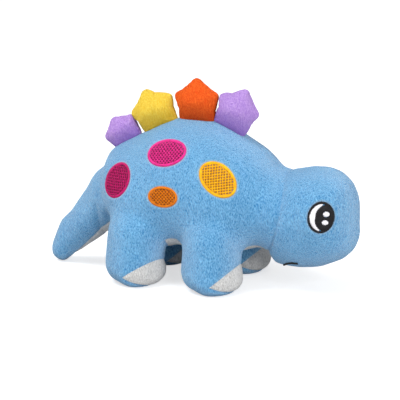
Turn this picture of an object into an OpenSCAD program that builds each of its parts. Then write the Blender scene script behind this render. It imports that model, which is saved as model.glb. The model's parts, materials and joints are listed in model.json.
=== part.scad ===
// Stuffed toy stegosaurus: a sewn plush cover over fibre filling.
// The face is towards +X, up is +Z, and the feet stand on z = 0.
// The origin is below the middle of the toy, in its plane of symmetry.
// Each stuffed form is the hull of a few balls. The same balls with smaller
// radii give the inner face of the fabric, and smaller again the filling.

/* [Fabric] */
// Thickness of the plush fabric with its pile
pile = 2.5; // [2:0.5:3]
// Gap between two panels where they are sewn together
seam_gap = 0.3; // [0.2:0.1:0.5]
// Gap between the fabric and the filling
fill_gap = 1.2; // [1:0.1:1.5]
// Clearance where one stuffed form flexes in the next
flex_gap = 0.9; // [0.8:0.1:1.2]
// Height of the embroidery above the fabric
thread_height = 1; // [0.6:0.1:1.4]

/* [Torso] */
// Height of the back
back_top = 172; // [168:1:175]
// Height of the belly
belly_low = 37; // [35:1:39]
// Half of the width of the white belly panel
belly_half = 44; // [38:1:46]

/* [Head and tail] */
// Distance of the face, and of the tail's tip, from the origin
reach = 175; // [174:1:176]
// Radius of the neck
neck_r = 45; // [43:0.5:45.5]
// Radius of the tail's root
root_r = 32; // [31:0.5:33]
// Radius of the tail's tip
tip_r = 12.5; // [11:0.5:13]

/* [Legs] */
// Position of the rear and the front legs along the toy
leg_x = [-58, 28];
// Distance of a leg's centre from the plane of symmetry
leg_y = 43; // [42:0.5:44]
// Largest radius of a leg
leg_r = 33; // [32:0.5:33.5]
// Radius of the flat patch that a leg stands on
sole_r = 14; // [12:1:20]
// Radius of the top of a leg, inside the torso
hip_r = 30; // [29:0.5:30]
// Height of the hip
hip_z = 53; // [52:0.5:54]

/* [Back plates] */
// Position of the foot of each plate along the back, from the rear
plate_x = [-84.2, -46.5, -4.5, 32.5];
// Height of the foot of each plate
plate_z = [143.8, 162.5, 172.7, 168.2];
// Lean of each plate towards the face
plate_lean = [-41, -28, -2, 25];
// Width of each plate against the common pattern
plate_wide = [0.85, 1.1, 1.05, 1];
// Height of each plate against the common pattern
plate_tall = [0.6, 0.96, 1.02, 1.03];

/* [Hidden] */
SIDES = ["right", "left"];
ENDS = ["rear", "front"];
PLATES = ["plate_1", "plate_2", "plate_3", "plate_4"];
SPOTS = ["rump_spot", "back_spot", "flank_spot", "shoulder_spot"];

blue = "#7FB9E4";
white = "#DEDCDA";
lilac = "#B993D6";
yellow = "#F5CC42";
orange = "#F2602A";
amber = "#DB8A1C";
magenta = "#C92C84";
black = "#1C1C20";
filling = "#F2F0EA";

form_fn = 24;        // facets round a fabric form
fill_fn = 16;        // facets round the filling, which nothing shows
hollow_fn = 20;      // facets round a hollow in the filling
leg_fn = 20;         // facets round a leg
edge_fn = 12;        // facets round the edge of a sole
hollow_gap = 1.1;    // further clearance there, for its coarser facets
huge = 600;          // larger than the toy

// The name of the side that s is on, where s is -1 or 1
function side_name(s) = SIDES[s > 0 ? 1 : 0];

fill_inset = pile + fill_gap;
thread_lift = 0.02;  // keeps the thread just off the fabric
thread_gap = 0.1;    // between threads of two colours
band_share = 0.62;   // half length of a flexing band against its radius

// Balls are [x, y, z, radius], from the rear to the front.
flank_r = 49;
flank_y = 13;
flank_z = belly_low + flank_r;
back_r = 56.5;
torso_balls = [
    [-62, 0, 100, 47],
    for (s = [-1, 1]) [-55, s * flank_y, flank_z, flank_r],
    [-14, 0, back_top - back_r, back_r],
    [8, 0, back_top - back_r, back_r - 0.5],
    for (s = [-1, 1]) [28, s * flank_y, flank_z, flank_r],
    [43, 0, 100, 53],
    [70, 0, 84, 45]
];
muzzle_r = 39.5;
head_balls = [
    [98, 0, 82, 44.5],
    [98, 0, 59, 35.5],
    [114, 0, 64, 41],
    [127, 0, 86.5, 46.5],
    [reach - muzzle_r, 0, 72, muzzle_r]
];
tail_balls = [
    [-103, 0, 76, 33],
    [-134.5, 0, 54, 18.5],
    [-150, 0, 36, 15.5],
    [tip_r - reach, 0, tip_r + 0.4, tip_r]
];

neck_at = [90, 0, 82];
neck_tilt = 9;           // the neck points this far below level
neck_rear = -9;          // where the torso's cover ends along the neck
neck_front = 7;          // where the head's cover starts
tail_at = [-99, 0, 78];
tail_tilt = 145;         // the tail's root points backwards and down
tail_rear = -5;
tail_front = 8;
skirt_angle = 16;        // room for a leg to swing below the hip
hip_ease = 0.7;          // more room at the hip, because the leg widens just below it

// These hold a value for the rear legs and one for the front.
pad_tilt = [52, 48];     // the plane of a pad's upper seam faces this far below level
pad_turn = [19, 0];      // and this far outwards from straight ahead
pad_start = [-4.3, -2.3]; // distance of that plane from the middle of the sole
sole_tilt = [22, 34];    // slope of the pad's lower seam, down towards the toe
sole_start = [10.5, 18];
belly_outline = [[-98, 18], [-48, belly_half], [22, belly_half], [80, 16]];
belly_seam_top = 62;
under_tail_half = 59;    // half angle of the white panel, seen along the tail
under_tail_tilt = 52;    // slope of the line that the panel's seams meet on
under_tail_drop = 12.5;  // distance of that line below the middle of the tail

// Spots are [x, z, half length, half height, tilt, colour].
spots = [
    [-76, 109, 19, 15, 50, magenta],
    [-21, 143, 22.5, 12.5, 10, magenta],
    [-19, 100, 16.5, 11, 3, amber],
    [38, 121.5, 22, 14, -37, yellow]
];
eye_at = [141.7, -30, 89.5];
eye_turn = 28;
eye_tilt = -8;
eye_size = [13.7, 16.2];
eye_inner = 0.84;        // size of the eye inside its outline, against the whole
pupil_shift = 5;         // the pupil sits this far towards the front
glint_x = 4.5;
glint_z = [4.3, -4.4];
glint_size = [3.4, 2.8];

mouth_x = 114;
mouth_size = [20, 27];
stitch_w = 2.4;
mouth_top = 60;

plate_base = 14.5;       // half of the width at the foot
plate_shoulder = [19.5, 23];
plate_peak = 38;
plate_edge = 3;          // radius along the edge seam
plate_belly_r = 9;       // half of the thickness in the middle
plate_middle = 19;
plate_middle_x = 5;      // the thickest part reaches this far to each side
plate_pile = 2;
plate_gap = 0.5;         // between a plate's fabric and its filling
plate_fn = 16;
plate_colours = [lilac, yellow, orange, lilac];
plate_balls = [
    for (s = [-1, 1]) [s * plate_base, 0, plate_edge, plate_edge],
    for (s = [-1, 1]) [s * plate_shoulder[0], 0, plate_shoulder[1], plate_edge],
    [0, 0, plate_peak, plate_edge],
    for (s = [-1, 1]) [s * plate_middle_x, 0, plate_middle, plate_belly_r]
];

// A boolean tree inside this becomes one closed mesh.
module one_mesh() {
    resize([0, 0, 0]) children();
}

module stuffed(balls, grow = 0, fn = form_fn) {
    hull() for (ball = balls) {
        translate([ball[0], ball[1], ball[2]]) sphere(r = ball[3] + grow, $fn = fn);
    }
}

module skin(balls) {
    difference() {
        stuffed(balls);
        stuffed(balls, -pile);
    }
}

// Everything further than d along +X
module beyond(d) {
    translate([d, -huge / 2, -huge / 2]) cube(huge);
}

// One side of the plane of symmetry, clear of the seam; s is -1 on the right
module side_of(s) {
    rotate([0, 0, s * 90]) beyond(seam_gap / 2);
}

module mirrored_if(s) {
    mirror([0, s > 0 ? 1 : 0, 0]) children();
}

/* Torso */

module hip_hollow(x, y, gap, fn) {
    reach_down = hip_z + 1;
    translate([x, y, hip_z]) sphere(r = hip_r + hip_ease + gap, $fn = fn);
    translate([x, y, hip_z - reach_down]) cylinder(
        h = reach_down,
        r1 = hip_r + hip_ease + gap + reach_down * tan(skirt_angle),
        r2 = hip_r + hip_ease + gap,
        $fn = fn);
}

module torso_hollows(gap = flex_gap, fn = form_fn) {
    translate(neck_at) {
        sphere(r = neck_r + gap, $fn = fn);
        rotate([0, neck_tilt, 0]) beyond(neck_rear);
    }
    translate(tail_at) {
        sphere(r = root_r + gap, $fn = fn);
        rotate([0, tail_tilt, 0]) beyond(tail_rear);
    }
    for (x = leg_x, s = [-1, 1]) hip_hollow(x, s * leg_y, gap, fn);
}

module belly_zone(grow = 0) {
    outline = concat(belly_outline, [for (i = [3:-1:0]) [belly_outline[i][0], -belly_outline[i][1]]]);
    linear_extrude(belly_seam_top + grow) offset(delta = grow) polygon(outline);
}

module side_panel(s) {
    color(blue) one_mesh() difference() {
        intersection() {
            skin(torso_balls);
            side_of(s);
        }
        torso_hollows();
        belly_zone(seam_gap);
    }
}

module belly_panel() {
    color(white) one_mesh() difference() {
        intersection() {
            skin(torso_balls);
            belly_zone();
        }
        torso_hollows();
    }
}

module torso_stuffing() {
    color(filling) one_mesh() difference() {
        stuffed(torso_balls, -fill_inset, fill_fn);
        torso_hollows(flex_gap + hollow_gap, hollow_fn);
    }
}

// The layer of thread on a form
module thread_layer(balls) {
    difference() {
        stuffed(balls, thread_height);
        stuffed(balls, thread_lift);
    }
}

// An oval of it, seen from the side
module embroidery(balls, at, turn, tilt, size) {
    intersection() {
        thread_layer(balls);
        translate(at) rotate([90, 0, turn]) rotate([0, 0, tilt])
            linear_extrude(huge) scale(size) circle(r = 1, $fn = 32);
    }
}

module spot(i, s) {
    at = [spots[i][0], 0, spots[i][1]];
    size = [spots[i][2], spots[i][3]];
    color(spots[i][5]) one_mesh() mirrored_if(s)
        embroidery(torso_balls, at, 0, spots[i][4], size);
}

/* Neck and head */

// The part of a cover that flexes between two stuffed forms, open at both ends
module flexing_band(at, r, tilt) {
    half_length = r * band_share;
    color(blue) one_mesh() translate(at) difference() {
        sphere(r = r, $fn = form_fn);
        sphere(r = r - pile, $fn = form_fn);
        rotate([0, tilt, 0]) for (s = [0, 1]) mirror([s, 0, 0]) beyond(half_length);
    }
}

module flexing_filling(at, r) {
    color(filling) one_mesh() translate(at) sphere(r = r - fill_inset, $fn = fill_fn);
}

module neck_cover() {
    flexing_band(neck_at, neck_r, neck_tilt);
}

module neck_stuffing() {
    flexing_filling(neck_at, neck_r);
}

module head_hollows(gap = flex_gap, fn = form_fn) {
    translate(neck_at) {
        sphere(r = neck_r + gap, $fn = fn);
        rotate([0, neck_tilt, 0]) mirror([1, 0, 0]) beyond(-neck_front);
    }
}

module head_panel(s) {
    color(blue) one_mesh() difference() {
        intersection() {
            skin(head_balls);
            side_of(s);
        }
        head_hollows();
    }
}

module head_stuffing() {
    color(filling) one_mesh() difference() {
        stuffed(head_balls, -fill_inset, fill_fn);
        head_hollows(flex_gap + hollow_gap, hollow_fn);
    }
}

module eye_black(s) {
    color(black) one_mesh() mirrored_if(s) difference() {
        embroidery(head_balls, eye_at, eye_turn, eye_tilt, eye_size);
        eye_white_shapes(thread_gap);
    }
}

// The white crescent at the rear of the eye and its two glints
module eye_white_shapes(grow = 0) {
    translate(eye_at) rotate([90, 0, eye_turn]) rotate([0, 0, eye_tilt])
        linear_extrude(huge) offset(delta = grow) {
            difference() {
                scale(eye_size * eye_inner) circle(r = 1, $fn = form_fn);
                translate([pupil_shift, 0]) scale(eye_size * eye_inner) circle(r = 1, $fn = form_fn);
            }
            for (z = glint_z) translate([glint_x, z]) scale(glint_size) circle(r = 1, $fn = fill_fn);
        }
}

module eye_white(s) {
    color(white) one_mesh() mirrored_if(s) intersection() {
        embroidery(head_balls, eye_at, eye_turn, eye_tilt, eye_size);
        eye_white_shapes();
    }
}

// A smile across the underside of the muzzle, its corners towards the nose
module mouth_stitching() {
    color(black) one_mesh() intersection() {
        thread_layer(head_balls);
        translate([mouth_x, 0, 0]) linear_extrude(mouth_top) intersection() {
            difference() {
                scale(mouth_size) circle(r = 1, $fn = 40);
                offset(delta = -stitch_w) scale(mouth_size) circle(r = 1, $fn = 40);
            }
            translate([-huge, -huge / 2]) square(huge);
        }
    }
}

/* Tail */

module tail_root_cover() {
    flexing_band(tail_at, root_r, tail_tilt);
}

module tail_root_stuffing() {
    flexing_filling(tail_at, root_r);
}

module tail_hollows(gap = flex_gap, fn = form_fn) {
    translate(tail_at) {
        sphere(r = root_r + gap, $fn = fn);
        rotate([0, tail_tilt, 0]) mirror([1, 0, 0]) beyond(-tail_front);
    }
}

// Everything below the two seams that run along the tail's underside
module under_tail_zone(grow = 0) {
    side_drop = huge / tan(under_tail_half);
    translate([tip_r - reach, 0, tip_r]) rotate([0, -under_tail_tilt, 0])
        translate([-huge / 2, 0, grow - under_tail_drop]) rotate([90, 0, 90])
            linear_extrude(huge) polygon([[0, 0], [-huge, -side_drop], [huge, -side_drop]]);
}

module tail_panel(s) {
    color(blue) one_mesh() difference() {
        intersection() {
            skin(tail_balls);
            side_of(s);
        }
        tail_hollows();
        under_tail_zone(seam_gap);
    }
}

module tail_underside() {
    color(white) one_mesh() difference() {
        intersection() {
            skin(tail_balls);
            under_tail_zone();
        }
        tail_hollows();
    }
}

module tail_stuffing() {
    color(filling) one_mesh() difference() {
        stuffed(tail_balls, -fill_inset, fill_fn);
        tail_hollows(flex_gap + hollow_gap, hollow_fn);
    }
}

/* Legs */

module leg_form(grow = 0, fn = leg_fn) {
    edge_r = leg_r - sole_r;
    hull() {
        translate([0, 0, hip_z]) sphere(r = hip_r + grow, $fn = fn);
        rotate_extrude($fn = fn) intersection() {
            translate([sole_r, edge_r]) circle(r = edge_r + grow, $fn = edge_fn);
            translate([0, -huge / 2]) square(huge);
        }
    }
}

module leg_skin() {
    difference() {
        leg_form();
        leg_form(-pile);
    }
}

// The leaf between a foot pad's upper and lower seams; i is 0 on a rear leg
module pad_zone(i, s, grow = 0) {
    intersection() {
        rotate([0, pad_tilt[i], s * pad_turn[i]]) beyond(pad_start[i] - grow);
        rotate([0, sole_tilt[i] - 90, 0]) beyond(sole_start[i] - grow);
    }
}

module leg_cover(i, s) {
    color(blue) one_mesh() translate([leg_x[i], s * leg_y, 0]) difference() {
        leg_skin();
        pad_zone(i, s, seam_gap);
    }
}

module leg_pad(i, s) {
    color(white) one_mesh() translate([leg_x[i], s * leg_y, 0]) intersection() {
        leg_skin();
        pad_zone(i, s);
    }
}

module leg_stuffing(i, s) {
    color(filling) one_mesh() translate([leg_x[i], s * leg_y, 0]) leg_form(-fill_inset, fill_fn);
}

/* Back plates */

module at_plate(i) {
    translate([plate_x[i], 0, plate_z[i]]) rotate([0, plate_lean[i], 0])
        scale([plate_wide[i], plate_wide[i], plate_tall[i]]) children();
}

module plate_panel(i, s) {
    color(plate_colours[i]) one_mesh() at_plate(i) intersection() {
        difference() {
            stuffed(plate_balls, 0, plate_fn);
            stuffed(plate_balls, -plate_pile, plate_fn);
        }
        side_of(s);
    }
}

module plate_stuffing(i) {
    color(filling) one_mesh() at_plate(i) stuffed(plate_balls, -plate_pile - plate_gap, edge_fn);
}

side_panel(-1);  // side_panel_right
side_panel(1);  // side_panel_left
belly_panel();
torso_stuffing();
for (i = [0:3], s = [-1, 1]) {
    spot(i, s);
}
neck_cover();
neck_stuffing();
head_panel(-1);  // head_panel_right
head_panel(1);  // head_panel_left
head_stuffing();
mouth_stitching();
for (s = [-1, 1]) {
    eye_black(s);
    eye_white(s);
}
tail_root_cover();
tail_root_stuffing();
tail_panel(-1);  // tail_panel_right
tail_panel(1);  // tail_panel_left
tail_underside();
tail_stuffing();
for (i = [0, 1], s = [-1, 1]) {
    leg = str("leg_", ENDS[i], "_", side_name(s));
    leg_cover(i, s);
    leg_pad(i, s);
    leg_stuffing(i, s);
}
for (i = [0:3]) {
    plate_panel(i, -1);
    plate_panel(i, 1);
    plate_stuffing(i);
}
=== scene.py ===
import json
import math

import bmesh
import bpy
import numpy as np
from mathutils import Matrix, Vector, noise
from mathutils.bvhtree import BVHTree


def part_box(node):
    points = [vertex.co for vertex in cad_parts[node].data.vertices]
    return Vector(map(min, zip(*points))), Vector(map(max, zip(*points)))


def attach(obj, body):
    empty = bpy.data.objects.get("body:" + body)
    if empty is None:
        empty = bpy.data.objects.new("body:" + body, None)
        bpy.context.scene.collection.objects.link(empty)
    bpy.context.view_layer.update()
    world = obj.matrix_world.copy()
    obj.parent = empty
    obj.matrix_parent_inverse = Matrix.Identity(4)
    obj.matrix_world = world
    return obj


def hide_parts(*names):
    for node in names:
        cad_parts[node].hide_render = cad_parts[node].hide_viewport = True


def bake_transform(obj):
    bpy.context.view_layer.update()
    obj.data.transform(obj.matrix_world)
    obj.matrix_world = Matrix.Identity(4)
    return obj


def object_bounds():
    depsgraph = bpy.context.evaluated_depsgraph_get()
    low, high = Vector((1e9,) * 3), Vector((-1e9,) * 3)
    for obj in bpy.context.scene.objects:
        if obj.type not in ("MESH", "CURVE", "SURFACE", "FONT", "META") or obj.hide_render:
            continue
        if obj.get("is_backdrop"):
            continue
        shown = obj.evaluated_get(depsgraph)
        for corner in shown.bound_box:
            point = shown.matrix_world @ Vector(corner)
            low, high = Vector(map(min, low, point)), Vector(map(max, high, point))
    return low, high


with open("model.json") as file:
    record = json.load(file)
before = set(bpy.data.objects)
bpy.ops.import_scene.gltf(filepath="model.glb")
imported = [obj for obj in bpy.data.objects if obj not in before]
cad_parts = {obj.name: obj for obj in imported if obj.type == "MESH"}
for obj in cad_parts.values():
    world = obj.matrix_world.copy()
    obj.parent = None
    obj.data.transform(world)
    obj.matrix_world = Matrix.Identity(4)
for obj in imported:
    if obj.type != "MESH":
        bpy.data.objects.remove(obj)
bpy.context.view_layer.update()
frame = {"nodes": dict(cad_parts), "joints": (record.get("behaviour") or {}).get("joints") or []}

# ---- Camera ----
# A long lens on the toy's right, turned towards its face and looking a little down on its back.
# It stands far off, so the near and the far legs are drawn at almost one scale.
look_at = Vector((-0.0105, 0.0213, 0.0774))
camera_turn = math.radians(22)
camera_rise = math.radians(17)
camera_far = 2.3667
camera = bpy.data.objects.new("camera", bpy.data.cameras.new("camera"))
bpy.context.scene.collection.objects.link(camera)
camera.data.lens = 200
camera.data.sensor_width = 36
camera.data.clip_end = 20
camera.location = camera_far * Vector((
    math.sin(camera_turn) * math.cos(camera_rise),
    -math.cos(camera_turn) * math.cos(camera_rise),
    math.sin(camera_rise),
))
camera.rotation_euler = (look_at - camera.location).to_track_quat("-Z", "Y").to_euler()
bpy.context.scene.camera = camera

# ---- Stuffed body ----
# The cover is short-pile plush, sewn from panels inside out, turned and filled with loose fibre.
# The filling of torso, neck, head, tail and legs runs together under it, so the fabric is one
# closed skin that swells between its seams. It is made over the filling, then cut into panels.
LEGS = [f"leg_{end}_{side}" for end in ("rear", "front") for side in ("right", "left")]
FILLED = ["torso", "neck", "head", "tail_root", "tail"] + LEGS
gap_closing = 0.0056      # how far each filling is pushed out, so that neighbours run together
fabric_over_filling = 0.0037
pile_settled = 0.0004     # the seams hold the fabric in by this much before it swells
body_voxel = 0.0042
swell_cap = 0.0018        # furthest that the pressure of the filling moves the fabric
crease_smoothing = 9
body_pressure = 240.0


def merged_copy(node, push):
    """A closed copy of a CAD node's mesh, pushed out along its normals."""
    bm = bmesh.new()
    bm.from_mesh(frame["nodes"][node].data)
    bmesh.ops.remove_doubles(bm, verts=bm.verts, dist=1e-5)
    bm.normal_update()
    for v in bm.verts:
        v.co += v.normal * push
    return bm


def piece(name, mesh):
    obj = bpy.data.objects.new(name, mesh)
    bpy.context.scene.collection.objects.link(obj)
    return obj


def evaluated(obj):
    """The object's mesh with its modifiers applied."""
    graph = bpy.context.evaluated_depsgraph_get()
    return bpy.data.meshes.new_from_object(obj.evaluated_get(graph))


def with_modifier(obj, kind, **settings):
    """Applies one modifier to the object."""
    modifier = obj.modifiers.new(kind, kind)
    for name, value in settings.items():
        setattr(modifier, name, value)
    mesh = evaluated(obj)
    obj.modifiers.clear()
    obj.data = mesh
    return obj


def points_of(mesh):
    co = np.zeros(len(mesh.vertices) * 3)
    mesh.vertices.foreach_get("co", co)
    return co.reshape(-1, 3)


def normals_of(mesh):
    no = np.zeros(len(mesh.vertices) * 3)
    mesh.vertices.foreach_get("normal", no)
    return no.reshape(-1, 3)


def move_points(mesh, co):
    mesh.vertices.foreach_set("co", co.ravel())
    mesh.update()


def swell(obj, sewn, pressure, cap, frames=20):
    """Blows the fabric out like a filled cover. The sewn points stay, and none moves further than cap."""
    rest = points_of(obj.data)
    obj.vertex_groups.new(name="sewn").add([int(i) for i in sewn], 1.0, "REPLACE")
    modifier = obj.modifiers.new("filling", "CLOTH")
    cloth = modifier.settings
    cloth.quality = 6
    cloth.mass = 0.003
    cloth.tension_stiffness = cloth.compression_stiffness = 8
    cloth.shear_stiffness = 3
    cloth.bending_stiffness = 0.05
    cloth.air_damping = 2
    cloth.vertex_group_mass = "sewn"
    cloth.use_pressure = True
    cloth.uniform_pressure_force = pressure
    cloth.effector_weights.gravity = 0
    modifier.collision_settings.use_collision = False
    modifier.point_cache.frame_start = 1
    modifier.point_cache.frame_end = frames
    for at in range(1, frames + 1):
        bpy.context.scene.frame_set(at)
    swollen = points_of(evaluated(obj))
    bpy.context.scene.frame_set(1)
    obj.modifiers.clear()
    obj.vertex_groups.clear()
    way = swollen - rest
    far = np.maximum(np.linalg.norm(way, axis=1, keepdims=True), 1e-9)
    move_points(obj.data, rest + way * np.minimum(1, cap / far))


# Where the seams run. Each is a signed distance in metres from a point on the cover, and its
# zero is the stitched line.
neck_slope = math.radians(12.4)
neck_along = 0.0688
neck_bow = 0.0128         # the seam bows this far towards the face at the cheeks
neck_half = 0.044
belly_x = [-0.098, -0.048, 0.022, 0.08]
belly_half = [0.018, 0.044, 0.044, 0.016]
belly_top = 0.062
leg_x = {"rear": -0.058, "front": 0.028}
leg_y = 0.043
leg_seam_r = 0.0345
# A pad's upper seam: tilt below level, turn outwards, distance from the middle of the sole.
# Its lower seam: slope down towards the toe, distance from the middle of the sole.
pad_seams = {"rear": (52, 19, -0.0043, 22, 0.0105), "front": (48, 0, -0.0023, 26, 0.0155)}
tail_tip = np.array([-0.1625, 0, 0.0125])
under_tail_tilt = math.radians(52)
under_tail_half = math.radians(59)
under_tail_drop = 0.0125


def ease(t):
    t = np.clip(t, 0, 1)
    return t * t * (3 - 2 * t)


def spine_seam(p):
    return p[:, 1]


def along_neck(p):
    return p[:, 0] * math.cos(neck_slope) - p[:, 2] * math.sin(neck_slope)


def neck_seam(p):
    bow = neck_bow * np.clip((p[:, 1] / neck_half) ** 2, 0, 1.2)
    return along_neck(p) - neck_along - bow


def white_half_width(p):
    """Half of the width of the white underside, from the chest to the tip of the tail."""
    up = np.array([-math.sin(under_tail_tilt), 0, math.cos(under_tail_tilt)])
    under_tail = (-((p - tail_tip) @ up) - under_tail_drop) * math.tan(under_tail_half)
    belly = np.interp(p[:, 0], belly_x, belly_half)
    behind = ease((-0.085 - p[:, 0]) / 0.018)
    return belly * (1 - behind) + under_tail * behind


def belly_seam(p):
    """Negative on the white underside."""
    edge = np.abs(p[:, 1]) - white_half_width(p)
    for x in leg_x.values():
        r = np.hypot(p[:, 0] - x, np.abs(p[:, 1]) - leg_y)
        edge = np.maximum(edge, leg_seam_r - r)
    edge = np.maximum(edge, neck_seam(p) + 0.002)
    return np.maximum(edge, p[:, 2] - belly_top)


def foot(leg):
    end, side = leg.split("_")[1:]
    out = -1 if side == "right" else 1
    return np.array([leg_x[end], out * leg_y, 0]), out


def pad_seam(leg):
    """Positive on the white pad at the front of a foot, above the blue strip round its sole."""
    centre, out = foot(leg)
    tilt, turn, upper, slope, lower = pad_seams[leg.split("_")[1]]
    tilt, turn, slope = math.radians(tilt), math.radians(turn), math.radians(slope)
    facing = np.array([
        math.cos(tilt) * math.cos(turn), out * math.cos(tilt) * math.sin(turn), -math.sin(tilt)])
    above = np.array([math.sin(slope), 0, math.cos(slope)])

    def field(p):
        q = p - centre
        return np.minimum(q @ facing - upper, q @ above - lower)
    return field


def groove(distance, wide):
    return np.exp(-((distance / wide) ** 2))


# The embroidered ovals: half sizes, tilt, and how far each is turned round from the side.
# They sit where the CAD has them, and the needle pulls the pile down under them.
OVALS = {
    "rump_spot": (0.019, 0.015, 50, 0),
    "back_spot": (0.0225, 0.0125, 10, 0),
    "flank_spot": (0.0165, 0.011, 3, 0),
    "shoulder_spot": (0.022, 0.014, -37, 0),
    "eye_black": (0.0137, 0.0162, -8, 28),
}
oval_sink = 0.0008


def oval_frame(name):
    """The middle of an oval on the right side, and its axes along, up and into the body."""
    low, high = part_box(name + "_right")
    turn = math.radians(OVALS[name][3])
    tilt = math.radians(OVALS[name][2])
    level = Vector((math.cos(turn), math.sin(turn), 0))
    up = Vector((0, 0, 1))
    along = level * math.cos(tilt) + up * math.sin(tilt)
    across = up * math.cos(tilt) - level * math.sin(tilt)
    inward = Vector((-math.sin(turn), math.cos(turn), 0))
    return (low + high) / 2, along, across, inward


def from_oval(name, p):
    """How far outside an oval's edge each point is, on either side of the toy."""
    half_long, half_high = OVALS[name][:2]
    middle, along, across, inward = oval_frame(name)
    q = p * [1, -1, 1]
    q = np.where(p[:, 1:2] > 0, q, p) - np.array(middle)
    u, v = q @ np.array(along), q @ np.array(across)
    edge = (np.hypot(u / half_long, v / half_high) - 1) * math.sqrt(half_long * half_high)
    return np.where(np.abs(q @ np.array(inward)) < 0.02, edge, 1)


skin_bm = bmesh.new()
for part in FILLED:
    one = merged_copy(part + "_stuffing", gap_closing)
    held = bpy.data.meshes.new(part)
    one.to_mesh(held)
    one.free()
    skin_bm.from_mesh(held)
skin = piece("cover", bpy.data.meshes.new("cover"))
skin_bm.to_mesh(skin.data)
skin_bm.free()
with_modifier(skin, "REMESH", mode="VOXEL", voxel_size=body_voxel)
with_modifier(skin, "SMOOTH", factor=0.5, iterations=crease_smoothing)
p = points_of(skin.data)
move_points(skin.data, p + normals_of(skin.data) * (fabric_over_filling - gap_closing - pile_settled))
p = points_of(skin.data)
p[:, 2] = np.maximum(p[:, 2], 0.0003)
move_points(skin.data, p)
near_seam = np.minimum.reduce([
    np.abs(neck_seam(p)),
    np.abs(belly_seam(p)),
    np.where(p[:, 2] > 0.1, np.abs(spine_seam(p)), 1),
    np.where(p[:, 2] < 0.004, 0, 1),
])
swell(skin, np.nonzero(near_seam < 0.0025)[0], body_pressure, swell_cap)
with_modifier(skin, "SUBSURF", levels=2, render_levels=2)

# The sewing pulls the pile in along the seams, and the cover bulges beside them.
seam_depth = 0.0014
seam_wide = 0.0019
ridge_high = 0.001
cheek_roll = 0.0014
tail_crease = 0.0017
haunch_bulge = 0.0015
chest_sag = 0.0022
rump_bulge = 0.004
muzzle_corner = 0.0034
toe_flat = 0.0036
tail_tip_fill = 0.002
p = points_of(skin.data)
n = normals_of(skin.data)
on_top = ease((p[:, 2] - 0.06) / 0.02)
in_head = neck_seam(p) > 0
pull = np.zeros(len(p))
pull += seam_depth * 0.55 * groove(spine_seam(p), seam_wide * 0.8) * np.where(in_head, 0.7, on_top)
pull -= ridge_high * groove(spine_seam(p), 0.011) * on_top * (~in_head)
pull += seam_depth * 1.15 * groove(neck_seam(p), seam_wide)
pull -= cheek_roll * groove(neck_seam(p) - 0.008, 0.007)
pull += seam_depth * groove(belly_seam(p), seam_wide)
for leg in LEGS:
    centre, out = foot(leg)
    by_leg = np.hypot(p[:, 0] - centre[0], p[:, 1] - centre[1]) < 0.042
    pull += 0.7 * seam_depth * groove(pad_seam(leg)(p), seam_wide * 0.8) * by_leg * (p[:, 2] > 0.001)
# The haunch stands out over a crease at the root of the tail, and the chest hangs a little.
by_tail = ease((p[:, 2] - 0.03) / 0.012) * ease((0.085 - p[:, 2]) / 0.015)
pull += tail_crease * groove(p[:, 0] + 0.1098, 0.0035) * by_tail
pull -= haunch_bulge * groove(p[:, 0] + 0.1005, 0.006) * by_tail
pull -= chest_sag * groove(p[:, 0] - 0.055, 0.014) * groove(p[:, 1], 0.03) * (p[:, 2] < 0.06)
# The filling is packed hard at the rump and towards the corners of the muzzle, and each foot
# is flatter at its toe than at its heel.
pull -= rump_bulge * groove(p[:, 0] + 0.104, 0.022) * groove(p[:, 2] - 0.118, 0.03)
muzzle = in_head * ease((p[:, 0] - 0.118) / 0.02)
pull -= muzzle_corner * muzzle * np.minimum(1, 2 * np.abs(n[:, 0] * n[:, 2]))
for leg in LEGS:
    centre, out = foot(leg)
    by_leg = np.hypot(p[:, 0] - centre[0], p[:, 1] - centre[1]) < 0.042
    toe = ease((p[:, 0] - centre[0] + 0.014) / 0.022) * ease((0.024 - p[:, 2]) / 0.016)
    pull -= toe_flat * toe * by_leg
pull -= tail_tip_fill * ease((-0.15 - p[:, 0]) / 0.012)
for name in OVALS:
    edge = from_oval(name, p)
    pull += oval_sink * (1 - ease((edge + 0.001) / 0.0028))
    pull -= 0.0004 * groove(edge - 0.0032, 0.0022)
beside = np.minimum(np.abs(belly_seam(p)), np.abs(neck_seam(p)))
for i in np.nonzero(beside < 0.012)[0]:
    pull[i] += 0.0006 * noise.noise(Vector(p[i]) * 160) * groove(beside[i], 0.006)
p -= n * pull[:, None]
p[:, 2] = np.maximum(p[:, 2], 0.0002)
move_points(skin.data, p)

# Where the cover is divided between the parts of the body: across the tail and the neck, and round each foot
# below a height.
tail_bends = [-0.092, -0.108, -0.128]
neck_bends = [0.05, 0.068]
leg_zone_top = 0.0445
leg_zone_r = 0.041


def zone_of(p):
    """Which part of the body each point is in."""
    zone = np.full(len(p), "torso", dtype="<U24")
    for leg in LEGS:
        centre, out = foot(leg)
        r = np.hypot(p[:, 0] - centre[0], p[:, 1] - centre[1])
        zone[(r < leg_zone_r) & (p[:, 2] < leg_zone_top)] = leg
    zone[(p[:, 0] < tail_bends[0]) & (zone == "torso")] = "tail_root"
    zone[p[:, 0] < tail_bends[1]] = "tail"
    zone[(along_neck(p) > neck_bends[0]) & (zone == "torso")] = "neck"
    zone[neck_seam(p) > 0] = "head"
    return zone


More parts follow.
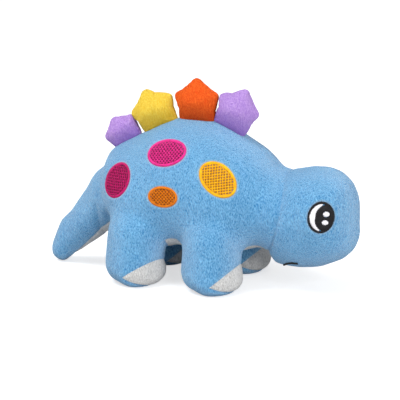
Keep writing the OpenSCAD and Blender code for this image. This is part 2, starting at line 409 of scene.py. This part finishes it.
def cut_along(bm, field):
    """Runs an edge loop along the zero of a field, so that a seam has panels on both sides."""
    bm.verts.ensure_lookup_table()
    bm.verts.index_update()
    values = field(np.array([v.co for v in bm.verts]))
    values[np.abs(values) < 0.00012] = 0
    on_line, crossing, splits = [], set(), []
    for i in np.nonzero(np.abs(values) < 0.004)[0]:
        if values[i] == 0:
            on_line.append(bm.verts[i])
        crossing.update(bm.verts[i].link_edges)
    for edge in sorted(crossing, key=lambda e: e.index):
        a, b = edge.verts
        if values[a.index] * values[b.index] < 0:
            share = values[a.index] / (values[a.index] - values[b.index])
            splits.append((edge, a, share))
    for edge, a, share in splits:
        on_line.append(bmesh.utils.edge_split(edge, a, share)[1])
    bmesh.ops.connect_verts(bm, verts=on_line)


cut = bmesh.new()
cut.from_mesh(skin.data)
for field in [spine_seam, neck_seam, belly_seam] + [pad_seam(leg) for leg in LEGS]:
    cut.edges.index_update()
    cut_along(cut, field)
cut.faces.ensure_lookup_table()
cover_surface = BVHTree.FromBMesh(cut)
bpy.data.objects.remove(skin)

# Each panel, in each zone, is an object of its own. Their edges keep the normals of the whole
# cover, so the fabric runs on from one to the next.
middles = np.array([f.calc_center_median() for f in cut.faces])
zones = zone_of(middles)
panels = np.where(middles[:, 1] < 0, "right", "left").astype("<U9")
panels[belly_seam(middles) < 0] = "underside"
for leg in LEGS:
    zones[(zones == leg) & (panels == "underside")] = "torso"
    here = zones == leg
    panels[here] = "cover"
    panels[here & (pad_seam(leg)(middles) > 0)] = "pad"
cover_mesh = bpy.data.meshes.new("cover")
cut.to_mesh(cover_mesh)
cut.free()
cover_points, cover_normals = points_of(cover_mesh), normals_of(cover_mesh)
corners = np.zeros(len(cover_mesh.loops), int)
cover_mesh.loops.foreach_get("vertex_index", corners)
starts = np.zeros(len(cover_mesh.polygons), int)
cover_mesh.polygons.foreach_get("loop_start", starts)
ends = np.append(starts[1:], len(corners))


def panel_object(name, chosen):
    """One panel of the cover, from the numbers of its faces."""
    faces = [corners[starts[f]:ends[f]] for f in chosen]
    used, numbered = np.unique(np.concatenate(faces), return_inverse=True)
    lengths = np.cumsum([len(f) for f in faces])[:-1]
    mesh = bpy.data.meshes.new(name)
    mesh.from_pydata(cover_points[used].tolist(), [], [f.tolist() for f in np.split(numbered, lengths)])
    mesh.polygons.foreach_set("use_smooth", [True] * len(mesh.polygons))
    mesh.normals_split_custom_set_from_vertices(cover_normals[used].tolist())
    # A thin ring just outside each embroidered oval, where the needle presses the pile flat, is marked for
    # painted sheen.
    pressed_pile_sheen = mesh.attributes.new("pressed_pile_sheen", "FLOAT", "POINT")
    rim = np.max([groove(from_oval(o, cover_points[used]) - 0.0006, 0.0011) for o in OVALS], axis=0)
    pressed_pile_sheen.data.foreach_set("value", rim)
    return piece(name, mesh)


# The plush looks mottled, because its tufts lie in slightly different directions: it is paler
# where they lean to the light and deeper between them.
def shader_node(tree, kind, links=None, **values):
    """A node, with the inputs set by their names, and links from other nodes' sockets."""
    made = tree.nodes.new(kind)
    for name, value in values.items():
        setattr(made, name, value)
    for name, source in (links or {}).items():
        if isinstance(source, bpy.types.NodeSocket):
            tree.links.new(source, made.inputs[name])
        else:
            made.inputs[name].default_value = source
    return made


def rgb(red, green, blue):
    """A colour given as it looks on a screen, from 0 to 255, for a shader's socket."""
    straight = [c / 255 / 12.92 if c < 11 else ((c / 255 + 0.055) / 1.055) ** 2.4 for c in (red, green, blue)]
    return (*straight, 1)


def new_group(name, inputs, outputs):
    tree = bpy.data.node_groups.new(name, "ShaderNodeTree")
    for label, kind, value in inputs:
        socket = tree.interface.new_socket(label, in_out="INPUT", socket_type=kind)
        if value is not None:
            socket.default_value = value
    for label, kind in outputs:
        tree.interface.new_socket(label, in_out="OUTPUT", socket_type=kind)
    return tree, tree.nodes.new("NodeGroupInput"), tree.nodes.new("NodeGroupOutput")


pile_group, pile_in, pile_out = new_group(
    "plush pile",
    [("Place", "NodeSocketVector", None), ("Pale", "NodeSocketColor", None),
     ("Deep", "NodeSocketColor", None), ("Pressed pile sheen", "NodeSocketFloat", 0)],
    [("Colour", "NodeSocketColor"), ("Roughness", "NodeSocketFloat"), ("Height", "NodeSocketFloat")],
)
tree = pile_group
nap = shader_node(tree, "ShaderNodeMapping", {
    "Vector": pile_in.outputs["Place"], "Rotation": (0.3, 0.75, 0.2), "Scale": (1, 1, 0.42)})
tufts = shader_node(tree, "ShaderNodeTexNoise", {
    "Vector": nap.outputs["Vector"], "Scale": 980.0, "Detail": 3.0, "Roughness": 0.6})
strokes = shader_node(tree, "ShaderNodeTexNoise", {
    "Vector": nap.outputs["Vector"], "Scale": 330.0, "Detail": 2.0, "Roughness": 0.5})
drift = shader_node(tree, "ShaderNodeTexNoise", {
    "Vector": pile_in.outputs["Place"], "Scale": 26.0, "Detail": 2.0})
tuft_share = shader_node(tree, "ShaderNodeMapRange", {
    "Value": tufts.outputs["Fac"], "From Min": 0.36, "From Max": 0.64, "To Min": 0.0, "To Max": 0.85})
stroke_share = shader_node(tree, "ShaderNodeMapRange", {
    "Value": strokes.outputs["Fac"], "From Min": 0.3, "From Max": 0.7, "To Min": 0.0, "To Max": 0.14})
drift_share = shader_node(tree, "ShaderNodeMapRange", {
    "Value": drift.outputs["Fac"], "From Min": 0.35, "From Max": 0.65, "To Min": 0.0, "To Max": 0.08})
first_sum = shader_node(tree, "ShaderNodeMath", operation="ADD")
tree.links.new(tuft_share.outputs["Result"], first_sum.inputs[0])
tree.links.new(stroke_share.outputs["Result"], first_sum.inputs[1])
second_sum = shader_node(tree, "ShaderNodeMath", operation="ADD", use_clamp=True)
tree.links.new(first_sum.outputs[0], second_sum.inputs[0])
tree.links.new(drift_share.outputs["Result"], second_sum.inputs[1])
mottle = shader_node(tree, "ShaderNodeMix", data_type="RGBA")
tree.links.new(second_sum.outputs[0], mottle.inputs["Factor"])
tree.links.new(pile_in.outputs["Deep"], mottle.inputs[6])
tree.links.new(pile_in.outputs["Pale"], mottle.inputs[7])
# Where the pile is pressed flat round the embroidery, its colour is mixed a little towards a pale blue-white:
# painted sheen on the flattened pile.
pressed_sheen_share = shader_node(tree, "ShaderNodeMath", operation="MULTIPLY")
tree.links.new(pile_in.outputs["Pressed pile sheen"], pressed_sheen_share.inputs[0])
pressed_sheen_share.inputs[1].default_value = 0.22
pressed_sheen_colour = shader_node(tree, "ShaderNodeMix", data_type="RGBA")
tree.links.new(pressed_sheen_share.outputs[0], pressed_sheen_colour.inputs["Factor"])
tree.links.new(mottle.outputs[2], pressed_sheen_colour.inputs[6])
pressed_sheen_colour.inputs[7].default_value = (0.85, 0.92, 0.98, 1)
pile_rough = shader_node(tree, "ShaderNodeMapRange", {
    "Value": tufts.outputs["Fac"], "From Min": 0.3, "From Max": 0.7, "To Min": 0.95, "To Max": 0.78})
tree.links.new(pressed_sheen_colour.outputs[2], pile_out.inputs["Colour"])
tree.links.new(pile_rough.outputs["Result"], pile_out.inputs["Roughness"])
tree.links.new(first_sum.outputs[0], pile_out.inputs["Height"])


def plush(name, pale, deep, glow):
    """A plush fabric, with the colours of its raised and its sunken pile and of its sheen."""
    material = bpy.data.materials.new(name)
    material.use_nodes = True
    tree = material.node_tree
    shader = tree.nodes["Principled BSDF"]
    where = shader_node(tree, "ShaderNodeTexCoord")
    pressed_pile_sheen = shader_node(tree, "ShaderNodeAttribute", attribute_name="pressed_pile_sheen")
    pile = shader_node(tree, "ShaderNodeGroup", node_tree=pile_group)
    tree.links.new(where.outputs["Object"], pile.inputs["Place"])
    tree.links.new(pressed_pile_sheen.outputs["Fac"], pile.inputs["Pressed pile sheen"])
    pile.inputs["Pale"].default_value = pale
    pile.inputs["Deep"].default_value = deep
    bump = shader_node(tree, "ShaderNodeBump", {
        "Height": pile.outputs["Height"], "Strength": 0.8, "Distance": 0.0016})
    tree.links.new(pile.outputs["Colour"], shader.inputs["Base Color"])
    tree.links.new(pile.outputs["Roughness"], shader.inputs["Roughness"])
    tree.links.new(bump.outputs["Normal"], shader.inputs["Normal"])
    shader.inputs["Specular IOR Level"].default_value = 0.12
    shader.inputs["Sheen Weight"].default_value = 0.75
    shader.inputs["Sheen Roughness"].default_value = 0.42
    shader.inputs["Sheen Tint"].default_value = glow
    return material


blue_plush = plush("blue plush", rgb(134, 199, 240), rgb(44, 128, 192), rgb(228, 239, 250))
white_plush = plush("white plush", rgb(240, 239, 237), rgb(188, 186, 184), rgb(250, 250, 250))

STANDS_FOR = {
    ("torso", "right"): ["side_panel_right", "torso_stuffing"],
    ("torso", "left"): ["side_panel_left"],
    ("torso", "underside"): ["belly_panel"],
    ("neck", "right"): ["neck_cover", "neck_stuffing"],
    ("head", "right"): ["head_panel_right", "head_stuffing"],
    ("head", "left"): ["head_panel_left"],
    ("tail_root", "right"): ["tail_root_cover", "tail_root_stuffing"],
    ("tail", "right"): ["tail_panel_right", "tail_stuffing"],
    ("tail", "left"): ["tail_panel_left"],
    ("tail", "underside"): ["tail_underside"],
}
for leg in LEGS:
    STANDS_FOR[leg, "cover"] = [leg + "_cover", leg + "_stuffing"]
    STANDS_FOR[leg, "pad"] = [leg + "_pad"]

for zone in ["torso", "neck", "head", "tail_root", "tail"] + LEGS:
    for panel in ("right", "left", "underside", "cover", "pad"):
        chosen = np.nonzero((zones == zone) & (panels == panel))[0]
        if len(chosen) == 0:
            continue
        white = panel in ("underside", "pad")
        obj = panel_object(f"{zone}_{panel}_plush", chosen)
        obj.data.materials.append(white_plush if white else blue_plush)
        if zone == "torso":
            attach(obj, "torso")
        elif zone == "neck":
            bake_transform(obj)
        elif zone == "head":
            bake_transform(obj)
        elif zone == "tail_root":
            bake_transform(obj)
        elif zone == "tail":
            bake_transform(obj)
        else:
            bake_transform(obj)
        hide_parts(*STANDS_FOR.get((zone, panel), []))

# ---- Back plates ----
# Four stuffed pentagon pouches in coloured plush, each two panels sewn round their edge and
# caught in the seam along the back. The filling makes them puff up and their sides pull in.
plate_over_filling = 0.005
plate_voxel = 0.0019
plate_pressure = 420.0
plate_swell_cap = 0.004
plate_sink = 0.0045        # the foot of a plate is drawn down into the seam along the back
# Each plate: its slot, the pale and the deep colour of its pile, and the colour of the painted shade at its
# foot, where it meets the back. plate_4's painted shade is a little deeper than plate_1's.
PLATES = {
    "plate_1": ("lilac_plush", rgb(205, 168, 236), rgb(164, 122, 214), rgb(128, 96, 190)),
    "plate_2": ("yellow_plush", rgb(255, 224, 92), rgb(242, 194, 46), rgb(206, 160, 40)),
    "plate_3": ("orange_plush", rgb(255, 112, 40), rgb(232, 72, 18), rgb(170, 48, 16)),
    "plate_4": ("lilac_plush", rgb(205, 168, 236), rgb(164, 122, 214), rgb(120, 88, 186)),
}
joints = {j["name"]: j for j in frame["joints"]}


def plate_material(name, pale, deep, base, low, up):
    """Plate plush with painted shade, deeper towards the seam that holds it. low is the seam's place, up its
    direction.
    """
    material = plush(name, pale, deep, pale)
    tree = material.node_tree
    where = shader_node(tree, "ShaderNodeTexCoord")
    lean = math.atan2(up.x, up.z)
    height = shader_node(tree, "ShaderNodeMapping", {
        "Vector": where.outputs["Object"], "Rotation": (0, -lean, 0)})
    split = shader_node(tree, "ShaderNodeSeparateXYZ", {"Vector": height.outputs["Vector"]})
    # The painted shade is strongest at the seam and fades out over about two centimetres up the plate.
    start = low @ up
    share = shader_node(tree, "ShaderNodeMapRange", {
        "Value": split.outputs["Z"], "From Min": start - 0.002, "From Max": start + 0.02,
        "To Min": 0.65, "To Max": 0.0}, interpolation_type="SMOOTHSTEP")
    pile = next(n for n in tree.nodes if n.type == "GROUP")
    mix = shader_node(tree, "ShaderNodeMix", data_type="RGBA")
    tree.links.new(share.outputs["Result"], mix.inputs["Factor"])
    tree.links.new(pile.outputs["Colour"], mix.inputs[6])
    mix.inputs[7].default_value = base
    tree.links.new(mix.outputs[2], tree.nodes["Principled BSDF"].inputs["Base Color"])
    return material


for name, (slot, pale, deep, base) in PLATES.items():
    joint = joints[name + "_fold"]
    axis = Vector(joint["axis"])
    up = Vector((-axis.z, 0, axis.x))
    seat = Vector(joint["pos_m"])
    pouch_bm = merged_copy(name + "_stuffing", plate_over_filling)
    pouch = piece(name + "_pouch", bpy.data.meshes.new(name))
    pouch_bm.to_mesh(pouch.data)
    pouch_bm.free()
    with_modifier(pouch, "REMESH", mode="VOXEL", voxel_size=plate_voxel)
    with_modifier(pouch, "SMOOTH", factor=0.5, iterations=8)
    p = points_of(pouch.data)
    low = ((p - np.array(seat)) @ np.array(up)).min()
    swell(pouch, np.nonzero((p - np.array(seat)) @ np.array(up) < low + 0.003)[0],
          plate_pressure, plate_swell_cap)
    with_modifier(pouch, "SUBSURF", levels=1, render_levels=1)
    p = points_of(pouch.data)
    n = normals_of(pouch.data)
    pull = 0.0006 * groove(p[:, 1], 0.0011) * (1 - n[:, 1] ** 2) - 0.0003
    p -= n * pull[:, None]
    sunk = plate_sink * ease(1 - ((p - np.array(seat)) @ np.array(up) - low) / 0.012)
    move_points(pouch.data, p - np.array(up) * sunk[:, None])
    pouch.data.polygons.foreach_set("use_smooth", [True] * len(pouch.data.polygons))
    pouch.data.materials.append(plate_material(name + " plush", pale, deep, base, seat + up * low, up))
    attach(pouch, name)
    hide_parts(name + "_panel_right", name + "_panel_left", name + "_stuffing")

# ---- Embroidered spots ----
# Machine embroidery in shiny thread: two layers of stitches cross on the slant and pass over and under each
# other, over a plain layer, and a border of satin stitch closes the edge. The plain layer is coloured far
# darker than the thread above it, as painted shade in the holes between the crossed stitches.
thread_r = 0.0005
weave_pitch = 0.0026
border_wide = 0.0026
satin_step = 0.00066
# The rump and the back spot are one magenta thread in two sets of colours: the back spot's are painted
# lighter and the rump spot's darker, as painted light and painted shade.
SPOT_THREADS = {
    "rump_spot": ("magenta_thread", rgb(216, 10, 116), rgb(132, 2, 66)),
    "back_spot": ("magenta_thread", rgb(250, 56, 160), rgb(172, 14, 98)),
    "flank_spot": ("amber_thread", rgb(246, 146, 8), rgb(178, 80, 2)),
    "shoulder_spot": ("yellow_thread", rgb(255, 210, 24), rgb(224, 138, 4)),
}


def laid_on(name, side):
    """Gives the point on the cover at (along, across) from an oval's middle, lifted off the pile."""
    middle, along, across, inward = oval_frame(name)
    flip = Vector((1, 1 if side == "right" else -1, 1))

    def place(u, v, lift):
        start = middle + along * u + across * v - inward * 0.06
        hit, normal, face, far = cover_surface.ray_cast(start * flip, inward * flip)
        return hit + normal * lift
    return place


def thread_lines(name, lines, radius, sides=1):
    """Threads as thin tubes along lists of points, with the ends drawn in. Gives their mesh."""
    curve = bpy.data.curves.new(name, "CURVE")
    curve.dimensions = "3D"
    curve.bevel_depth = radius
    curve.bevel_resolution = sides
    curve.use_fill_caps = True
    for points in lines:
        spline = curve.splines.new("POLY")
        spline.points.add(len(points) - 1)
        for i, q in enumerate(points):
            spline.points[i].co = (*q, 1)
            spline.points[i].radius = 0.55 if i in (0, len(points) - 1) else 1
    held = piece(name, curve)
    mesh = evaluated(held)
    bpy.data.objects.remove(held)
    return mesh


def oval_point(half_long, half_high, angle, inset=0):
    """A point on an oval's outline, moved in along its normal."""
    c, s = math.cos(angle), math.sin(angle)
    nx, ny = half_high * c, half_long * s
    size = math.hypot(nx, ny)
    return half_long * c - inset * nx / size, half_high * s - inset * ny / size


def oval_steps(half_long, half_high, step):
    """Angles round an oval at equal steps along its edge."""
    fine = np.linspace(0, 2 * math.pi, 721)
    run = np.concatenate([[0], np.cumsum(np.hypot(
        np.diff(half_long * np.cos(fine)), np.diff(half_high * np.sin(fine))))])
    count = int(run[-1] / step)
    return np.interp(np.arange(count) * run[-1] / count, run, fine)


def satin_border(place, half_long, half_high, wide, lift):
    """Short stitches side by side across the edge, each humped over the one below."""
    lines = []
    for i, angle in enumerate(oval_steps(half_long, half_high, satin_step)):
        sway = 0.00012 * math.sin(i * 2.4)
        lines.append([
            place(*oval_point(half_long, half_high, angle, inset), rise)
            for inset, rise in (
                (-0.0002 + sway, 0.0), (wide * 0.2, lift * 0.8), (wide * 0.5, lift),
                (wide * 0.8, lift * 0.8), (wide + sway, 0.0001))
        ])
    return lines


def chord(half_long, half_high, offset, slant):
    """Where the line at this offset and slant enters and leaves an oval, as distances along it."""
    d = (math.cos(slant), math.sin(slant))
    m = (-d[1] * offset, d[0] * offset)
    a = (d[0] / half_long) ** 2 + (d[1] / half_high) ** 2
    b = m[0] * d[0] / half_long ** 2 + m[1] * d[1] / half_high ** 2
    c = (m[0] / half_long) ** 2 + (m[1] / half_high) ** 2 - 1
    if b * b - a * c <= 0:
        return None
    root = math.sqrt(b * b - a * c)
    return (-b - root) / a, (-b + root) / a, m, d


def woven_fill(place, half_long, half_high, pitch, base, wave):
    """Two families of slanted stitches that pass over and under each other."""
    lines = []
    for slant, phase in ((math.radians(45), 0), (math.radians(-45), 1)):
        for k in range(-20, 21):
            found = chord(half_long, half_high, k * pitch, slant)
            if not found or found[1] - found[0] < 2 * pitch:
                continue
            start, end, m, d = found
            points = []
            for j in range(math.ceil(start / pitch * 3), math.floor(end / pitch * 3) + 1):
                s = j * pitch / 3
                lift = base + wave * math.cos(math.pi * (s / pitch + k + phase))
                points.append(place(m[0] + d[0] * s, m[1] + d[1] * s, lift))
            lines.append(points)
    return lines


def level_fill(place, half_long, half_high, step, lift, slant=0.0):
    """Flat rows of thread that hide the fabric under the crossed stitches."""
    lines = []
    for k in range(-int(half_long / step) - 20, int(half_long / step) + 21):
        found = chord(half_long, half_high, k * step, slant)
        if not found or found[1] - found[0] < 0.002:
            continue
        start, end, m, d = found
        count = max(3, int((end - start) / 0.002))
        lines.append([place(m[0] + d[0] * s, m[1] + d[1] * s, lift) for s in np.linspace(start, end, count)])
    return lines


thread_group, thread_in, thread_out = new_group(
    "embroidery thread",
    [("Place", "NodeSocketVector", None), ("Bright", "NodeSocketColor", None),
     ("Shade", "NodeSocketColor", None)],
    [("Colour", "NodeSocketColor"), ("Roughness", "NodeSocketFloat"), ("Height", "NodeSocketFloat")],
)
tree = thread_group
fibres = shader_node(tree, "ShaderNodeTexNoise", {
    "Vector": thread_in.outputs["Place"], "Scale": 2600.0, "Detail": 2.0, "Roughness": 0.6})
lots = shader_node(tree, "ShaderNodeTexNoise", {
    "Vector": thread_in.outputs["Place"], "Scale": 330.0, "Detail": 2.0})
fibre_share = shader_node(tree, "ShaderNodeMapRange", {
    "Value": fibres.outputs["Fac"], "From Min": 0.3, "From Max": 0.7, "To Min": 0.0, "To Max": 0.5})
lot_share = shader_node(tree, "ShaderNodeMapRange", {
    "Value": lots.outputs["Fac"], "From Min": 0.35, "From Max": 0.65, "To Min": 0.1, "To Max": 0.5})
thread_sum = shader_node(tree, "ShaderNodeMath", operation="ADD", use_clamp=True)
tree.links.new(fibre_share.outputs["Result"], thread_sum.inputs[0])
tree.links.new(lot_share.outputs["Result"], thread_sum.inputs[1])
thread_mix = shader_node(tree, "ShaderNodeMix", data_type="RGBA")
tree.links.new(thread_sum.outputs[0], thread_mix.inputs["Factor"])
tree.links.new(thread_in.outputs["Shade"], thread_mix.inputs[6])
tree.links.new(thread_in.outputs["Bright"], thread_mix.inputs[7])
thread_rough = shader_node(tree, "ShaderNodeMapRange", {
    "Value": fibres.outputs["Fac"], "From Min": 0.3, "From Max": 0.7, "To Min": 0.36, "To Max": 0.52})
tree.links.new(thread_mix.outputs[2], thread_out.inputs["Colour"])
tree.links.new(thread_rough.outputs["Result"], thread_out.inputs["Roughness"])
tree.links.new(fibres.outputs["Fac"], thread_out.inputs["Height"])


def thread(name, bright, shade):
    material = bpy.data.materials.new(name)
    material.use_nodes = True
    tree = material.node_tree
    shader = tree.nodes["Principled BSDF"]
    where = shader_node(tree, "ShaderNodeTexCoord")
    spun = shader_node(tree, "ShaderNodeGroup", node_tree=thread_group)
    tree.links.new(where.outputs["Object"], spun.inputs["Place"])
    spun.inputs["Bright"].default_value = bright
    spun.inputs["Shade"].default_value = shade
    bump = shader_node(tree, "ShaderNodeBump", {
        "Height": spun.outputs["Height"], "Strength": 0.35, "Distance": 0.0002})
    tree.links.new(spun.outputs["Colour"], shader.inputs["Base Color"])
    tree.links.new(spun.outputs["Roughness"], shader.inputs["Roughness"])
    tree.links.new(bump.outputs["Normal"], shader.inputs["Normal"])
    shader.inputs["Specular IOR Level"].default_value = 0.3
    return material


def sewn(name, mesh, material, body, slot, *nodes):
    """Puts one finished mesh of stitches on its body."""
    mesh.name = name
    mesh.polygons.foreach_set("use_smooth", [True] * len(mesh.polygons))
    mesh.materials.clear()
    mesh.materials.append(material)
    obj = piece(name, mesh)
    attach(obj, body)
    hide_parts(*nodes)
    return obj


for spot, (slot, bright, shade) in SPOT_THREADS.items():
    half_long, half_high = OVALS[spot][:2]
    border_thread = thread(spot + " border thread", bright, shade)
    fill_thread = thread(spot + " fill thread", bright, shade)
    # The ground layer is the spot's own thread, painted far darker: painted shade in the holes between the
    # crossed stitches.
    ground_thread_in_painted_shade = thread(spot + " ground thread", shade, tuple(c * 0.12 for c in shade[:3]) + (1,))
    inner = (half_long - border_wide * 0.95, half_high - border_wide * 0.95)
    for side in ("right", "left"):
        place = laid_on(spot, side)
        sewn(f"{spot}_{side}_border",
             thread_lines("border", satin_border(place, half_long, half_high, border_wide, 0.0011), 0.0004),
             border_thread, "torso", slot, f"{spot}_{side}")
        sewn(f"{spot}_{side}_ground",
             thread_lines("ground", level_fill(place, *inner, 0.0007, 0.0002), 0.0004, 0),
             ground_thread_in_painted_shade, "torso", slot)
        sewn(f"{spot}_{side}_weave",
             thread_lines("weave", woven_fill(place, *inner, weave_pitch, 0.0009, 0.0004), thread_r),
             fill_thread, "torso", slot)

# ---- Eyes ----
# Flat embroidery in black and white: upright rows of satin stitch fill the pupil and the white
# crescent behind it, two round glints lie on the pupil, and a satin outline closes the edge.
eye_long, eye_high = OVALS["eye_black"][:2]
eye_outline = 0.0022
eye_row = 0.0006
pupil_shift = 0.005
glint_places = ((0.0045, 0.0043), (0.0045, -0.0044))
glint_half = (0.0034, 0.0028)


def in_oval(u, v, half_long, half_high):
    return (u / half_long) ** 2 + (v / half_high) ** 2 < 1


def in_glint(u, v):
    return any(in_oval(u - gu, v - gv, *glint_half) for gu, gv in glint_places)


def in_white(u, v):
    inner = (eye_long - eye_outline, eye_high - eye_outline)
    return in_oval(u, v, *inner) and not in_oval(u - pupil_shift, v, *inner)


def in_black(u, v):
    whole = in_oval(u, v, eye_long - eye_outline * 0.6, eye_high - eye_outline * 0.6)
    return whole and not in_white(u, v) and not in_glint(u, v)


def satin_rows(place, inside, lift, step, sample=0.0004):
    """Upright threads side by side wherever a shape is, rising from its edge."""
    lines = []
    for u in np.arange(-eye_long, eye_long, step):
        run = []
        for v in np.arange(-eye_high, eye_high + sample, sample):
            if inside(u, v):
                run.append(v)
            elif run:
                if run[-1] - run[0] > 3 * sample:
                    lines.append((u, run[0], run[-1]))
                run = []
    threads = []
    for i, (u, low, high) in enumerate(lines):
        sway = 0.0002 * math.sin(i * 2.1)
        vs = np.linspace(low - 0.0001 + sway, high + 0.0001 + sway, max(4, int((high - low) / 0.0016) + 3))
        last = len(vs) - 1
        threads.append([
            place(u, v, lift * (0.25 if j in (0, last) else 0.9 if j in (1, last - 1) else 1))
            for j, v in enumerate(vs)])
    return threads


black_thread = thread("black thread", rgb(34, 32, 36), rgb(12, 11, 13))
white_thread = thread("white thread", rgb(250, 249, 250), rgb(224, 220, 230))
for side in ("right", "left"):
    place = laid_on("eye_black", side)
    black = satin_rows(place, in_black, 0.0010, eye_row)
    black += satin_border(place, eye_long, eye_high, eye_outline, 0.0015)
    sewn(f"eye_{side}_black_stitches", thread_lines("black", black, 0.00042),
         black_thread, "head", "black_thread", f"eye_black_{side}")
    white = satin_rows(place, in_white, 0.0012, eye_row) + satin_rows(place, in_glint, 0.0013, eye_row)
    sewn(f"eye_{side}_white_stitches", thread_lines("white", white, 0.00042),
         white_thread, "head", "white_thread", f"eye_white_{side}")

# ---- Mouth ----
# A smile in black satin stitch, run across the underside of the muzzle from cheek to cheek,
# with a short tick across each end.
mouth_low, mouth_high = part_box("mouth_stitching")
mouth_half = (mouth_high.y - mouth_low.y) / 2 - 0.0012
mouth_reach = mouth_high.x - mouth_low.x - 0.0012
mouth_wide = 0.0009


def under_head(x, y, lift):
    hit, normal, face, far = cover_surface.ray_cast(Vector((x, y, -0.05)), Vector((0, 0, 1)))
    return hit + normal * lift


smile = []
for angle in np.linspace(-math.pi / 2, math.pi / 2, 130):
    x, y = mouth_high.x - mouth_reach * math.cos(angle), mouth_half * math.sin(angle)
    out = Vector((-math.cos(angle) / mouth_reach, math.sin(angle) / mouth_half, 0)).normalized()
    smile.append([
        under_head(x + out.x * s * mouth_wide, y + out.y * s * mouth_wide, rise)
        for s, rise in ((-1, 0.0), (-0.5, 0.0008), (0.5, 0.0008), (1, 0.0))])
for out in (-1, 1):
    for step in np.linspace(-0.0032, 0.0032, 10):
        smile.append([
            under_head(mouth_high.x + step, out * mouth_half + s * 0.0011, rise)
            for s, rise in ((-1, 0.0), (-0.5, 0.0009), (0.5, 0.0009), (1, 0.0))])
sewn("mouth_stitches", thread_lines("mouth", smile, 0.00045), black_thread, "head", "black_thread",
     "mouth_stitching")

# ---- Floor and light ----
# A white table that runs out of sight, a large soft light above and to the left, and a smaller
# one to the right of the face, as for a product on white.
floor_bm = bmesh.new()
bmesh.ops.create_grid(floor_bm, x_segments=2, y_segments=2, size=4)
floor = piece("floor", bpy.data.meshes.new("floor"))
floor_bm.to_mesh(floor.data)
floor_bm.free()
table_paint = bpy.data.materials.new("table paint")
table_paint.use_nodes = True
tree = table_paint.node_tree
tree.nodes["Principled BSDF"].inputs["Roughness"].default_value = 0.9
tree.nodes["Principled BSDF"].inputs["Specular IOR Level"].default_value = 0.1
speckle = shader_node(tree, "ShaderNodeTexNoise", {"Scale": 300.0})
speckle_mix = shader_node(tree, "ShaderNodeMix", data_type="RGBA")
tree.links.new(speckle.outputs["Fac"], speckle_mix.inputs["Factor"])
speckle_mix.inputs[6].default_value = (0.62, 0.62, 0.625, 1)
speckle_mix.inputs[7].default_value = (0.64, 0.64, 0.64, 1)
tree.links.new(speckle_mix.outputs[2], tree.nodes["Principled BSDF"].inputs["Base Color"])
# The far table is as white as the near one, where the lamps are too weak to make it so.
seen = shader_node(tree, "ShaderNodeLightPath")
whiter = shader_node(tree, "ShaderNodeMath", operation="MULTIPLY")
tree.links.new(seen.outputs["Is Camera Ray"], whiter.inputs[0])
whiter.inputs[1].default_value = 0.62
tree.nodes["Principled BSDF"].inputs["Emission Color"].default_value = (1, 1, 1, 1)
tree.links.new(whiter.outputs[0], tree.nodes["Principled BSDF"].inputs["Emission Strength"])
floor.data.materials.append(table_paint)
floor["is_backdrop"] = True

room = bpy.data.worlds.new("room")
bpy.context.scene.world = room
room.use_nodes = True
room.node_tree.nodes["Background"].inputs["Color"].default_value = (1, 1, 1, 1)
room.node_tree.nodes["Background"].inputs["Strength"].default_value = 0.5


def soft_light(name, place, size, power):
    light = bpy.data.objects.new(name, bpy.data.lights.new(name, "AREA"))
    bpy.context.scene.collection.objects.link(light)
    light.data.size = size
    light.data.energy = power
    light.location = place
    light.rotation_euler = (look_at - light.location).to_track_quat("-Z", "Y").to_euler()


soft_light("above", Vector((-0.6, -0.5, 1.6)), 0.9, 24)
soft_light("front", Vector((1.3, -1.2, 0.8)), 0.9, 20)
bpy.context.scene.view_settings.view_transform = "Standard"

low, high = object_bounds()
